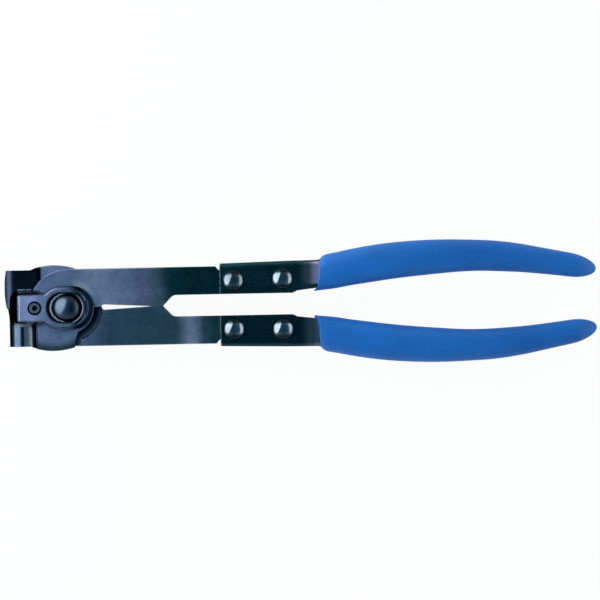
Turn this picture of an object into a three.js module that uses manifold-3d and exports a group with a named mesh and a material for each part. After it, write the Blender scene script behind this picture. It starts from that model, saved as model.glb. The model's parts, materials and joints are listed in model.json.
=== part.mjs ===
// Ear clamp pliers, lying flat: jaws towards -X, handles towards +X, screw side up (+Z), sizes in millimetres.
// The origin is on the pivot axis, at the flat outer face of the pivot pin's tail. The pliers are modelled closed.
// The front arm carries the +Y handle and the -Y jaw, and the rear arm the -Y handle and the +Y jaw.
import * as THREE from "three";
import { mergeVertices } from "three/addons/utils/BufferGeometryUtils.js";
import Module from "manifold-3d";

const wasm = await Module();
wasm.setup();

// Clearances and overruns
const seatGap = 0.3; // between faces that rest on each other
const holeClearance = 0.3; // round a pin or rivet shank
const cutOverrun = 3; // how far a cutting solid runs past what it cuts
const weldOverlap = 1; // how far two solids that become one run into each other
const stopGap = 0.3; // between the two closed halves, at the lips, the parting line and the stop pads

// Arms
const lapThickness = 3.8; // one half of the lapped joint
const armOuter = 18.7; // the arm's outer edge, and the round of the lapped plate that runs into it
const shoulderRadius = 16.5; // hollow round of the full-thickness shoulder
const shoulderStart = 6.6; // along X, where the shoulder begins
const cheekGap = 3.5; // between the plate's cheek and the other arm's shoulder
const cheekEndAngle = 67; // degrees below the centre line where the cheek's round ends
const cheekFoot = 3.8; // along X, the corner between cheek and heel
const cheekFootReach = 15.4;
const plateHeel = 3.2; // along X, behind the pivot, where the heel meets the swell
const plateHeelRise = 0.6; // how far the heel stands out past the arm's edge
const plateFront = 15; // from the pivot to the plate's straight front edge
const plateFrontRise = 1; // how far the front corner stands out past the arm's edge
const plateSwellRise = 3.4; // the same at the control point of the swelling edge between them
const plateSwellAt = 6.5; // along X, in front of the pivot
const plateBevel = 0.45;
const slotSetback = 1.1; // from the shoulder to the middle of the slot's round end
const slotHalfWidth = 1.3;
const padStart = 40.7; // the stop pads that end the closing stroke
const padLength = 5.4;
const waistRun = 4.9; // from the pad to the slim part, along X
const waistFillet = 4;
const armInner = 5.2; // inner edge of the slim part
const armBody = 71.8; // end of the full width
const armChamfer = 1.5;
const tangLength = 37.8; // past the full width
const tangSideGap = 1.1; // between the tang and the channel's web

// Pivot pin and washer
const pinRadius = 4;
const tailLip = 4; // how far the riveted tail stands out past the pin
const tailHeight = 2;
const tailBevel = 0.5;
const domeLip = 2.7; // how far the domed head stands out past the pin
const domeHeight = 3.6;
const domeRim = 0.5;
const washerShift = 1.4; // the loose washer lies towards the jaws
const washerThickness = 0.8;

// Centre bar
const domeRoom = 0.5; // round the domed head, across the bar
const ringWall = 3.25; // beside the pocket
const ringLead = 3; // the ring is drawn out this far towards the jaws
const toeTrail = 2.2; // and its sloping toe this far towards the handles
const toeHeight = 2.8;
const ringRound = 1.5;
const ringRoundDrop = 2.2;
const ledgeThickness = 2.6; // floor of the pocket
const pocketShift = 1.1; // the pocket's oval sits towards the jaws
const pocketStretch = 1.5; // half of what the oval is longer than it is wide
const pocketRim = 0.5; // chamfer round the pocket
const barHalfWidth = 6.6;
const barThickness = 6.2; // of the tongue and the ring alike
const barFillet = 3;
const barEndRound = 1.2; // corners of the tongue in plan
const barNoseRound = 1.6; // upper edge of its end
const barBevel = 0.7;
const barPastScrew = 8.6; // from the screw's axis to the tongue's end

// Set screw in the centre bar
const screwPastRing = 4.95; // from the ring to the screw's axis
const screwRadius = 2.5;
const screwLength = 6;
const screwPoint = 1.2; // height of the cone at its tip
const screwTipRadius = 1.3;
const screwSunk = 0.4; // below the bar's top
const socketAcross = 2.5;
const socketSides = 6;
const socketDepth = 2.6;
const sinkRoom = 0.9; // the counterbore round the screw
const sinkDepth = 1.6;

// Jaws
const jawSetIn = 0.2; // how far the jaws' outer sides stand in from the arm's edge
const jawFloor = -9; // lower face of the lips, measured from the origin
const jawRear = 11.2; // behind which the lips end, in front of the pivot
const jawFairing = 2.8; // along X, over which a jaw's side runs out to the plate's corner
const jawChamfer = 2;
const jawFlankHeight = 8; // height of the sloping flank above the lips' face
const jawFlankInset = 8.5;
const noseRadius = 6.7; // the front jaw's round nose
const noseFront = 28.45;
const noseRise = 2.2; // crest of the nose above the plate
const noseNotch = 1.7; // height above the plate's underside of the notch between nose and plate
const noseBulge = 0.7;
const brow = 30.6; // the rear jaw's furthest point
const browSink = 0.3; // its top below the front plate's
const browRound = 4;
const browOuterSet = 1; // how far the brow falls back at its outer corner
const browInnerSet = 1.2; // and at the centre line
const browTuck = 0.4; // behind the plate's front edge

// Pocket between the jaws, where the clamp's ear stands
const earFrontWall = 1.05; // left standing in front of the pocket
const earBehindScrew = 4.3; // from the screw's axis to the pocket's rear end
const earHalfWidth = 7.4;
const earFloor = -2; // where the pocket starts to narrow towards the lips
const lipHeight = 2.6;
const earFlareDrop = 1.5; // below the brow's top, where the flare starts
const earFlareLength = 0.7; // how much the flare adds at each end
const earFlareWidth = 1.5; // and at each side
const earSquarenessShare = 4; // exponent of the pocket's oval

// Handle channels, pressed from sheet
const sheet = 2;
const channelEndGap = 0.6; // behind the arm's chamfer
const channelOuterRise = 1.3; // past the arm's outer edge
const channelInnerGap = 0.1; // behind the arm's inner edge
const channelInnerBend = 0.4; // radius inside the bend
const channelEdge = 0.35; // round of the flanges' free edges
const neckGap = 0.8; // from the tang's end to where the flanges draw in
const neckLength = 11.6; // from there to the grip
const neckStep = 0.5; // small step in the free edges where they draw in
const neckDrop = 0.9; // how far each flange draws in at the grip's mouth
const channelSteps = 12;

// Grips, dipped over the channels
const gripWall = 1.8;
const gripLength = 134.4;
const gripSolidEnd = 20.4; // past the channel's end
const mouthSlant = 0.25; // how far the mouth leans, outer side back and inner side forward
const mouthLip = 2.3; // how far the coat creeps out along the inner side
const mouthLipSharpness = 2.2;
const gripBellyHalf = 8.95; // largest half width
const gripBellyHeight = 7.9; // largest half height
const gripCap = 12.5; // length of the rounded tip
const gripSquareness = 2.6;
const spineRise = 9.05; // how much further out the middle of the grip runs at its widest

// Places along the handle as shares of the length from the channel's start to the grip's end, and the middle
// line's rise there as shares of the whole rise.
const spineShares = [
  [0, 0],
  [0.19, 0.08],
  [0.266, 0.19],
  [0.36, 0.53],
  [0.47, 0.82],
  [0.6, 0.985],
  [0.7, 0.985],
  [0.79, 0.84],
  [0.87, 0.6],
  [0.94, 0.375],
  [1, 0.27],
];
// Places along the grip as shares of its length, then half width and half height there as shares of the largest.
const gripShares = [
  [0, 0.98, 0.99],
  [0.07, 0.975, 1],
  [0.19, 1, 1],
  [0.3, 0.98, 0.98],
  [0.42, 0.935, 0.95],
  [0.54, 0.855, 0.91],
  [0.66, 0.82, 0.86],
  [0.78, 0.735, 0.78],
  [0.9, 0.66, 0.68],
  [1, 0.63, 0.62],
];

// Rivets that hold the channels
const rivetRadius = 3;
const rivetHeadLip = 2.2; // how far a head stands out past the shank
const rivetHeadHeight = 2.8;
const rivetHeadRim = 0.4;
const rivetTailLip = 1.7;
const rivetTailHeight = 1.5;
const firstRivet = 6.6; // behind the channel's start
const firstRivetOut = 0.7; // outside the tang's middle
const lastRivet = 5.4; // before the tang's end
const lastRivetOut = 1.15;

// Facets
const mergeDistance = 1e-4;
const pointSpacing = 0.02; // closer points of an outline count as one
const sliver = 0.004; // edges shorter than this are closed up
const chordError = 0.03; // how far an arc's chords may leave it
const swellSteps = 10;
const sweepSteps = 80;
const roundSteps = 40;
const ringRoundSteps = 4;
const holeSteps = 28;
const smallSteps = 24;
const bendSteps = 3;
const sectionSteps = 20;
const gripSteps = 16;
const gripCapSteps = 8;
const gripCapEndShare = 0.94; // how far round the tip the last ring lies
const domeSteps = 6;
const rivetDomeSteps = 5;

// Sizes that follow from these, across the tool
const cheekRadius = shoulderRadius - cheekGap;
const domeRadius = pinRadius + domeLip;
const tailRadius = pinRadius + tailLip;
const pocketHalfWidth = domeRadius + domeRoom;
const ringRadius = pocketHalfWidth + ringWall;
const jawOuter = armOuter - jawSetIn;
const plateReach = armOuter + plateFrontRise;
const channelOuter = armOuter + channelOuterRise;
const channelInner = armInner + channelInnerGap;
const channelBend = sheet + channelInnerBend;
const tangOuter = channelOuter - sheet - tangSideGap;
const spineStart = (channelInner + channelOuter) / 2;

// Places along X that follow
const slotStart = shoulderRadius + slotSetback;
const padEnd = padStart + padLength;
const waistStart = padEnd + waistRun;
const tangEnd = armBody + tangLength;
const channelStart = armBody + armChamfer + channelEndGap;
const channelNeck = tangEnd + neckGap;
const gripStart = channelNeck + neckLength;
const gripEnd = gripStart + gripLength;
const channelEnd = gripEnd - gripSolidEnd;
const screwPlace = ringRadius + screwPastRing;
const barReach = screwPlace + barPastScrew;
const earFront = noseFront - earFrontWall;
const earRear = screwPlace - earBehindScrew;
const tangMiddle = (armInner + tangOuter) / 2;
const rivetPlaces = [
  [channelStart + firstRivet, tangMiddle + firstRivetOut],
  [tangEnd - lastRivet, tangMiddle + lastRivetOut],
];

// Heights of the stack on the pivot, counted from the pin's tail
const rearPlateLow = tailHeight + seatGap;
const rearPlateHigh = rearPlateLow + lapThickness;
const frontPlateLow = rearPlateHigh + seatGap;
const frontPlateHigh = frontPlateLow + lapThickness;
const middle = (rearPlateLow + frontPlateHigh) / 2;
const armThickness = frontPlateHigh - rearPlateLow;
const barLow = frontPlateHigh + seatGap;
const barHigh = barLow + barThickness;
const ledgeHigh = barLow + ledgeThickness;
const washerLow = ledgeHigh + seatGap;
const washerHigh = washerLow + washerThickness;
const domeLow = washerHigh + seatGap;
const channelHalfHeight = armThickness / 2 + seatGap + sheet;
const noseCrest = frontPlateHigh + noseRise;
const noseFlank = frontPlateLow + noseNotch;
const browTop = frontPlateHigh - browSink;

// A closed mesh becomes a solid that can be cut and joined.
function solidOf(geometry) {
  const bare = geometry.clone();
  bare.deleteAttribute("normal");
  bare.deleteAttribute("uv");
  const merged = mergeVertices(bare, mergeDistance);
  const mesh = new wasm.Mesh({
    numProp: 3,
    vertProperties: new Float32Array(merged.attributes.position.array),
    triVerts: new Uint32Array(merged.index.array),
  });
  return new wasm.Manifold(mesh);
}

function geometryOf(solid) {
  const mesh = solid.setTolerance(sliver).getMesh();
  const geometry = new THREE.BufferGeometry();
  geometry.setAttribute("position", new THREE.BufferAttribute(new Float32Array(mesh.vertProperties), 3));
  geometry.setIndex(new THREE.BufferAttribute(new Uint32Array(mesh.triVerts), 1));
  geometry.computeVertexNormals();
  return geometry;
}

// Points along an arc, in degrees, close enough together for the chord error allowed.
function arc(x, y, radius, from, to) {
  const widest = 2 * Math.acos(1 - chordError / radius);
  const steps = Math.max(2, Math.ceil(radians(Math.abs(to - from)) / widest));
  return Array.from({ length: steps + 1 }, (_, i) => {
    const angle = radians(from + ((to - from) * i) / steps);
    return [x + radius * Math.cos(angle), y + radius * Math.sin(angle)];
  });
}

// Points along a quadratic curve from one point to another, pulled towards a third.
function swell(start, pull, end) {
  const curve = new THREE.QuadraticBezierCurve(
    new THREE.Vector2(...start),
    new THREE.Vector2(...pull),
    new THREE.Vector2(...end),
  );
  return curve.getPoints(swellSteps).map((point) => [point.x, point.y]);
}

// An outline in plan, raised between two heights, with its edges broken by a bevel.
function slab(outline, low, high, bevel = 0) {
  const points = outline.map(([x, y]) => new THREE.Vector2(x, y));
  const kept = points.filter((point, i) => {
    return point.distanceTo(points[(i + points.length - 1) % points.length]) > pointSpacing;
  });
  const geometry = new THREE.ExtrudeGeometry(new THREE.Shape(kept), {
    depth: high - low - 2 * bevel,
    bevelEnabled: bevel > 0,
    bevelThickness: bevel,
    bevelSize: bevel,
    bevelOffset: -bevel,
    bevelSegments: 1,
  });
  geometry.translate(0, 0, low + bevel);
  return solidOf(geometry);
}

function cylinder(radius, low, high, x = 0, y = 0, steps = holeSteps) {
  const geometry = new THREE.CylinderGeometry(radius, radius, high - low, steps);
  geometry.rotateX(Math.PI / 2);
  geometry.translate(x, y, (low + high) / 2);
  return solidOf(geometry);
}

// A profile of [radius, height] pairs turned about the vertical axis.
function turned(profile, steps, x = 0, y = 0) {
  const points = profile.map(([radius, height]) => new THREE.Vector2(radius, height));
  const geometry = new THREE.LatheGeometry(points, steps);
  geometry.rotateX(Math.PI / 2);
  geometry.translate(x, y, 0);
  return solidOf(geometry);
}

// Rings of equal numbers of points, each ring convex, skinned into one closed body.
function loft(rings) {
  const count = rings[0].length;
  const positions = rings.flat().flatMap((point) => [point.x, point.y, point.z]);
  const faces = [];
  for (let ring = 0; ring + 1 < rings.length; ring += 1) {
    for (let i = 0; i < count; i += 1) {
      const next = (i + 1) % count;
      const a = ring * count + i;
      const b = ring * count + next;
      faces.push(a, b, a + count, b, b + count, a + count);
    }
  }
  const last = (rings.length - 1) * count;
  for (let i = 1; i + 1 < count; i += 1) {
    faces.push(0, i + 1, i);
    faces.push(last, last + i, last + i + 1);
  }
  const geometry = new THREE.BufferGeometry();
  geometry.setAttribute("position", new THREE.Float32BufferAttribute(positions, 3));
  geometry.setIndex(faces);
  const solid = solidOf(geometry);
  return solid.volume() < 0 ? solidOf(flipped(geometry)) : solid;
}

function flipped(geometry) {
  const turnedRound = geometry.clone();
  turnedRound.setIndex([...geometry.index.array].reverse());
  return turnedRound;
}

// Point on a superellipse of half sizes 1, at the given angle.
function ovalPoint(angle, squareness) {
  const c = Math.cos(angle);
  const s = Math.sin(angle);
  const power = 2 / squareness;
  return [Math.sign(c) * Math.abs(c) ** power, Math.sign(s) * Math.abs(s) ** power];
}

function radians(angle) {
  return (angle * Math.PI) / 180;
}

function degrees(angle) {
  return (angle * 180) / Math.PI;
}

// Smooth reading of a table of rows whose first entry rises, through every row.
function smoothAlong(table, share, column) {
  const last = table.length - 1;
  const found = table.findIndex((row) => row[0] >= share);
  const i = found <= 0 ? (found === 0 ? 1 : last) : found;
  const slope = (k) => {
    const before = table[Math.max(k - 1, 0)];
    const after = table[Math.min(k + 1, last)];
    return (after[column] - before[column]) / (after[0] - before[0]);
  };
  const [low, high] = [table[i - 1], table[i]];
  const span = high[0] - low[0];
  const t = Math.min(Math.max((share - low[0]) / span, 0), 1);
  const rise = high[column] - low[column];
  const ease = t * t * (3 - 2 * t);
  const lead = t * (1 - t) * (1 - t) * slope(i - 1) * span;
  const trail = t * t * (t - 1) * slope(i) * span;
  return low[column] + rise * ease + lead + trail;
}

// Round end of the slim slot between the arms, from the parting line to the slot's full width.
function slotEnd() {
  const foot = degrees(Math.asin(stopGap / 2 / slotHalfWidth));
  return arc(slotStart, 0, slotHalfWidth, 180 - foot, 90);
}

// The half-lapped plate round the pivot, seen from the front arm's side.
function lapOutline() {
  const swellPull = [-plateSwellAt, -armOuter - plateSwellRise];
  const heel = [plateHeel, -armOuter - plateHeelRise];
  return [
    ...arc(0, 0, armOuter, 90, 180),
    [-plateFront, 0],
    ...swell([-plateFront, -plateReach], swellPull, heel),
    [cheekFoot, -cheekFootReach],
    ...arc(0, 0, cheekRadius, -cheekEndAngle, 0),
    ...slotEnd(),
    [slotStart + weldOverlap, slotHalfWidth],
    [slotStart + weldOverlap, armOuter],
  ];
}

// The full-thickness arm from its shoulder to the end of the tang.
function shankOutline() {
  const pad = stopGap / 2;
  const shoulderTop = degrees(Math.acos(shoulderStart / shoulderRadius));
  const shoulderFoot = degrees(Math.asin(slotHalfWidth / shoulderRadius));
  const slope = Math.atan2(armInner - pad, waistRun);
  const filletX = waistStart + waistFillet * Math.tan(slope / 2);
  return [
    [shoulderStart, armOuter],
    ...arc(0, 0, shoulderRadius, shoulderTop, shoulderFoot),
    [slotStart, slotHalfWidth],
    [padStart, pad],
    [padEnd, pad],
    ...arc(filletX, armInner - waistFillet, waistFillet, 90 + degrees(slope), 90),
    [tangEnd, armInner],
    [tangEnd, tangOuter],
    [armBody + armChamfer, tangOuter],
    [armBody, armOuter],
  ];
}

// One arm without its jaw: the front arm's, in its own place.
function armBlank() {
  const plate = slab(lapOutline(), frontPlateLow, frontPlateHigh, plateBevel);
  const shank = slab(shankOutline(), rearPlateLow, frontPlateHigh, plateBevel);
  let arm = plate.add(shank);
  for (const [x, y] of rivetPlaces) {
    const low = rearPlateLow - cutOverrun;
    arm = arm.subtract(cylinder(rivetRadius + holeClearance, low, frontPlateHigh + cutOverrun, x, y));
  }
  return arm;
}

// Half a turn about the long axis through the middle of the arms.
function turnedOver(solid) {
  return solid.translate([0, 0, -middle]).rotate([180, 0, 0]).translate([0, 0, middle]);
}

// The pocket for the clamp's ear, narrowing below to the closed lips.
function earPocket() {
  const place = (earFront + earRear) / 2;
  const halfLength = (earFront - earRear) / 2;
  const rim = [halfLength + earFlareLength, earHalfWidth + earFlareWidth];
  const rows = [
    [jawFloor - cutOverrun, halfLength, stopGap / 2],
    [jawFloor + lipHeight, halfLength, stopGap / 2],
    [earFloor, halfLength, earHalfWidth],
    [browTop - earFlareDrop, halfLength, earHalfWidth],
    [browTop, ...rim],
    [noseCrest + cutOverrun, ...rim],
  ];
  const rings = rows.map(([height, length, width]) =>
    Array.from({ length: roundSteps }, (_, i) => {
      const [u, v] = ovalPoint((2 * Math.PI * i) / roundSteps, earSquarenessShare);
      return new THREE.Vector3(-place + u * length, v * width, height);
    }),
  );
  return loft(rings);
}

// Side view of a jaw below the plates, shared by both jaws: from the plate's underside round the lips to the front.
function jawFoot(front, back) {
  const underPlate = rearPlateLow - seatGap;
  return [
    [-back, underPlate],
    [-jawRear, underPlate],
    [-jawRear, jawFloor + jawChamfer],
    [-jawRear - jawChamfer, jawFloor],
    [-front + jawChamfer, jawFloor],
    [-front, jawFloor + jawChamfer],
  ];
}

function noseSide() {
  const axis = noseCrest - noseRadius;
  const flank = degrees(Math.asin((noseFlank - axis) / noseRadius));
  return [
    [-noseFront - noseBulge, axis],
    ...arc(-noseFront + noseRadius, axis, noseRadius, 180, flank),
    [-plateFront + weldOverlap, noseFlank],
    [-plateFront + weldOverlap, frontPlateLow],
    [-plateFront, frontPlateLow],
    ...jawFoot(noseFront + noseBulge, plateFront),
  ];
}

function browSide() {
  return [
    ...arc(-brow + browRound, browTop - browRound, browRound, 180, 90),
    [-plateFront + browTuck, browTop],
    ...jawFoot(brow, plateFront - browTuck),
  ];
}

// Outer side of a jaw in plan, which runs out to the plate's corner, and its inner side along the parting line.
function jawSides() {
  return [
    [-plateFront - jawFairing, jawOuter],
    [-plateFront, plateReach],
    [-jawRear, plateReach],
    [-jawRear, stopGap / 2],
  ];
}

function nosePlan() {
  return [
    ...swell([-noseFront - noseBulge, stopGap / 2], [-noseFront, earHalfWidth / 2], [-noseFront, earHalfWidth]),
    [-noseFront, jawOuter],
    ...jawSides(),
  ];
}

function browPlan() {
  const bulge = brow + (browOuterSet + browInnerSet) / 2;
  return [
    ...swell([-brow + browInnerSet, stopGap / 2], [-bulge, jawOuter / 2], [-brow + browOuterSet, jawOuter]),
    ...jawSides(),
  ];
}

// View from the front: the jaw's outer side slopes in towards the lips.
function jawFrontView(top) {
  return [
    [stopGap / 2, jawFloor],
    [jawOuter - jawFlankInset, jawFloor],
    [plateReach, jawFloor + jawFlankHeight],
    [plateReach, top + cutOverrun],
    [stopGap / 2, top + cutOverrun],
  ];
}

// A jaw on the +Y side, as what its three views have in common.
function jawBlock(plan, side, top) {
  const length = brow + cutOverrun;
  const inPlan = slab(plan, jawFloor - cutOverrun, top + cutOverrun);
  const sideways = slab(side, -plateReach - cutOverrun, plateReach + cutOverrun).rotate([90, 0, 0]);
  const endways = slab(jawFrontView(top), -length, length).rotate([90, 0, 90]);
  return inPlan.intersect(sideways).intersect(endways);
}

// The jaw clears the other arm's lapped plate, at that plate's height.
function lapSweep(low, high) {
  return cylinder(armOuter + seatGap, low, high, 0, 0, sweepSteps);
}

function pivotHole() {
  return cylinder(pinRadius + holeClearance, jawFloor, barHigh + cutOverrun, 0, 0, roundSteps);
}

function frontArm() {
  const jaw = jawBlock(nosePlan(), noseSide(), noseCrest)
    .mirror([0, 1, 0])
    .subtract(lapSweep(rearPlateLow - seatGap, rearPlateHigh + seatGap));
  return armBlank().add(jaw).subtract(earPocket()).subtract(pivotHole());
}

function rearArm() {
  const jaw = jawBlock(browPlan(), browSide(), browTop)
    .subtract(lapSweep(frontPlateLow - seatGap, browTop + cutOverrun));
  return turnedOver(armBlank()).add(jaw).subtract(earPocket()).subtract(pivotHole());
}

// Profile of a domed head: its flat underside's edge, a short upright rim, then a spherical cap up to the axis.
function domeProfile(radius, low, height, rim, steps) {
  const rise = height - rim;
  const sphere = (radius ** 2 + rise ** 2) / (2 * rise);
  const edge = Math.asin(radius / sphere);
  const profile = [[radius, low]];
  for (let i = 0; i <= steps; i += 1) {
    const angle = edge * (1 - i / steps);
    const level = low + height - sphere * (1 - Math.cos(angle));
    profile.push([i === steps ? 0 : sphere * Math.sin(angle), level]);
  }
  return profile;
}

function pivotPin() {
  const profile = [
    [0, 0],
    [tailRadius - tailBevel, 0],
    [tailRadius, tailBevel],
    [tailRadius, tailHeight],
    [pinRadius, tailHeight],
    [pinRadius, domeLow],
    ...domeProfile(domeRadius, domeLow, domeHeight, domeRim, domeSteps),
  ];
  return turned(profile, roundSteps);
}

function pivotWasher() {
  const bore = pinRadius + holeClearance + washerShift;
  const rim = pocketHalfWidth - seatGap;
  const profile = [
    [bore, washerLow],
    [rim, washerLow],
    [rim, washerHigh],
    [bore, washerHigh],
    [bore, washerLow],
  ];
  return turned(profile, roundSteps, -washerShift);
}

// Plan of the centre bar's top: a square-ended tongue that flows into the flat of the ring round the pivot.
function barOutline() {
  const round = ringRadius - ringRound;
  const side = barHalfWidth + barFillet;
  const filletReach = Math.sqrt((round + barFillet) ** 2 - side ** 2);
  const filletX = -ringLead - filletReach;
  const touch = degrees(Math.atan2(side, filletReach));
  const corner = barReach - barEndRound;
  const edge = barHalfWidth - barEndRound;
  return [
    ...arc(-corner, -edge, barEndRound, 180, 270),
    ...arc(filletX, -side, barFillet, 90, touch),
    [-ringLead, -round],
    [-ringLead, round],
    ...arc(filletX, side, barFillet, -touch, -90),
    ...arc(-corner, edge, barEndRound, 90, 180),
  ];
}

function pocketOutline(halfWidth) {
  return [
    ...arc(-pocketShift - pocketStretch, 0, halfWidth, 90, 270),
    ...arc(-pocketShift + pocketStretch, 0, halfWidth, -90, 90),
  ];
}

// Side view of the tongue, with the upper edge of its end rounded.
function tongueSide() {
  return [
    ...arc(-barReach + barNoseRound, barHigh - barNoseRound, barNoseRound, 180, 90),
    [ringRadius, barHigh],
    [ringRadius, barLow],
    [-barReach, barLow],
  ];
}

// Profile of the ring round the pivot, as a full disc with a rounded shoulder.
function ringProfile() {
  const profile = [
    [0, barLow + barBevel],
    [ringRadius, barLow + barBevel],
  ];
  for (let i = 0; i <= ringRoundSteps; i += 1) {
    const angle = (Math.PI / 2) * (i / ringRoundSteps);
    const radius = ringRadius - ringRound * (1 - Math.cos(angle));
    profile.push([radius, barHigh - ringRoundDrop * (1 - Math.sin(angle))]);
  }
  profile.push([0, barHigh]);
  return profile;
}

function centreBar() {
  const side = slab(tongueSide(), -ringRadius - cutOverrun, ringRadius + cutOverrun).rotate([90, 0, 0]);
  const tongue = slab(barOutline(), barLow, barHigh, barBevel).intersect(side);
  const discs = [-ringLead, 0].map((x) => turned(ringProfile(), roundSteps, x));
  const toe = cylinder(ringRadius, barLow + barBevel, barLow + toeHeight, toeTrail, 0, roundSteps);
  const ring = wasm.Manifold.hull([...discs, toe]);
  const pocket = slab(pocketOutline(pocketHalfWidth), ledgeHigh, barHigh + cutOverrun);
  const rimOutline = pocketOutline(pocketHalfWidth + pocketRim);
  const rim = slab(rimOutline, barHigh - pocketRim, barHigh + cutOverrun, pocketRim);
  const thread = cylinder(screwRadius + holeClearance, barLow - cutOverrun, barHigh + cutOverrun, -screwPlace, 0);
  const sink = cylinder(screwRadius + sinkRoom, barHigh - sinkDepth, barHigh + cutOverrun, -screwPlace, 0);
  return [pocket, rim, pivotHole(), thread, sink].reduce((bar, cut) => bar.subtract(cut), tongue.add(ring));
}

function setScrew() {
  const top = barHigh - screwSunk;
  const tip = top - screwLength;
  const body = turned(
    [
      [0, tip],
      [screwTipRadius, tip],
      [screwRadius, tip + screwPoint],
      [screwRadius, top],
      [0, top],
    ],
    smallSteps,
    -screwPlace,
  );
  const across = socketAcross / Math.sqrt(3);
  const socket = cylinder(across, top - socketDepth, top + cutOverrun, -screwPlace, 0, socketSides);
  return body.subtract(socket);
}

// Middle of the handle, sideways, at a place along X.
function spineAt(x) {
  const share = (x - channelStart) / (gripEnd - channelStart);
  return spineStart + spineRise * smoothAlong(spineShares, Math.min(Math.max(share, 0), 1), 1);
}

// Half sizes of the grip at a place along X, before its tip is rounded.
function gripHalf(x) {
  const share = Math.min(Math.max((x - gripStart) / (gripEnd - gripStart), 0), 1);
  const halfWidth = gripBellyHalf * smoothAlong(gripShares, share, 1);
  const halfHeight = gripBellyHeight * smoothAlong(gripShares, share, 2);
  return [halfWidth, halfHeight];
}

// Edges of the channel's section at a place along X: inner side, outer side and half height.
function channelAt(x) {
  const lean = spineAt(channelNeck) - spineStart;
  if (x <= channelNeck) {
    const drift = (lean * Math.max(x - channelStart, 0)) / (channelNeck - channelStart);
    return [channelInner + drift / 2, channelOuter + drift, channelHalfHeight];
  }
  const skin = gripWall + seatGap;
  const [halfWidth, halfHeight] = gripHalf(x);
  const inner = spineAt(x) - halfWidth + skin;
  const outer = spineAt(x) + halfWidth - skin;
  const height = Math.min(halfHeight - skin, channelHalfHeight - neckDrop);
  const hold = Math.min((x - channelNeck) / (gripStart - channelNeck), 1);
  const neckInner = channelInner + lean / 2 + neckStep;
  const neckOuter = channelOuter + lean;
  return [
    neckInner + (inner - neckInner) * hold,
    neckOuter + (outer - neckOuter) * hold,
    channelHalfHeight + (height - channelHalfHeight) * hold,
  ];
}

// Rounded rectangle across the handle: small round on the inner corners, the sheet's bend on the outer ones.
function channelSection(x, inner, outer, halfHeight, innerRound, outerRound) {
  const corners = [
    [outer - outerRound, halfHeight - outerRound, outerRound, 0],
    [inner + innerRound, halfHeight - innerRound, innerRound, 90],
    [inner + innerRound, -halfHeight + innerRound, innerRound, 180],
    [outer - outerRound, -halfHeight + outerRound, outerRound, 270],
  ];
  const ring = [];
  for (const [y, z, round, start] of corners) {
    for (let i = 0; i <= bendSteps; i += 1) {
      const angle = radians(start + (90 * i) / bendSteps);
      ring.push(new THREE.Vector3(x, y + round * Math.cos(angle), middle + z + round * Math.sin(angle)));
    }
  }
  return ring;
}

// Places along X where the channel's section is drawn: the straight front, the neck, then even steps.
function channelStations() {
  const stations = [channelStart, tangEnd + seatGap, channelNeck, channelNeck + neckStep];
  for (let i = 1; i <= channelSteps; i += 1) {
    stations.push(channelNeck + ((channelEnd - channelNeck) * i) / channelSteps);
  }
  return stations;
}

// The +Y handle's channel: a U section open towards the centre line, over the arm's tang.
function handleChannel() {
  const stations = channelStations();
  const outside = stations.map((x) => {
    const [inner, outer, halfHeight] = channelAt(x);
    return channelSection(x, inner, outer, halfHeight, channelEdge, channelBend);
  });
  const inside = stations.map((x, i) => {
    const [inner, outer, halfHeight] = channelAt(x);
    const end = i === 0 ? -cutOverrun : i === stations.length - 1 ? cutOverrun : 0;
    const bend = channelBend - sheet;
    return channelSection(x + end, inner - cutOverrun, outer - sheet, halfHeight - sheet, bend, bend);
  });
  let channel = loft(outside).subtract(loft(inside));
  const reach = channelHalfHeight + cutOverrun;
  for (const [x, y] of rivetPlaces) {
    channel = channel.subtract(cylinder(rivetRadius + holeClearance, middle - reach, middle + reach, x, y));
  }
  return channel;
}

// How far the mouth's edge lies from the grip's start, by how far outside the middle it is: from -1 to 1.
function mouthOffset(side) {
  return mouthSlant * side - mouthLip * Math.max(0, -side) ** mouthLipSharpness;
}

function gripRing(x, halfWidth, halfHeight, offset) {
  return Array.from({ length: sectionSteps }, (_, i) => {
    const [u, v] = ovalPoint((2 * Math.PI * i) / sectionSteps, gripSquareness);
    return new THREE.Vector3(x + offset(u), spineAt(x) + u * halfWidth, middle + v * halfHeight);
  });
}

// The room for the channel inside the grip.
function gripHollow() {
  const stations = channelStations().filter((x) => x >= channelNeck);
  const rings = stations.map((x, i) => {
    const [inner, outer, halfHeight] = channelAt(x);
    const end = i === stations.length - 1 ? seatGap : 0;
    const corner = seatGap + channelEdge;
    const bend = seatGap + channelBend;
    return channelSection(x + end, inner - seatGap, outer + seatGap, halfHeight + seatGap, corner, bend);
  });
  return loft(rings);
}

// The +Y handle's grip: a soft sleeve, closed at its rounded tip.
function handleGrip() {
  const rings = [];
  const capStart = gripEnd - gripCap;
  const level = () => 0;
  for (let i = 0; i <= gripSteps; i += 1) {
    const x = gripStart + ((capStart - gripStart) * i) / gripSteps;
    rings.push(gripRing(x, ...gripHalf(x), i === 0 ? mouthOffset : level));
  }
  for (let i = 1; i <= gripCapSteps; i += 1) {
    const turn = (Math.PI / 2) * gripCapEndShare * (i / gripCapSteps);
    const x = capStart + gripCap * Math.sin(turn);
    const [halfWidth, halfHeight] = gripHalf(x);
    const shrink = Math.cos(turn);
    rings.push(gripRing(x, halfWidth * shrink, halfHeight * shrink, level));
  }
  return loft(rings).subtract(gripHollow());
}

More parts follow.
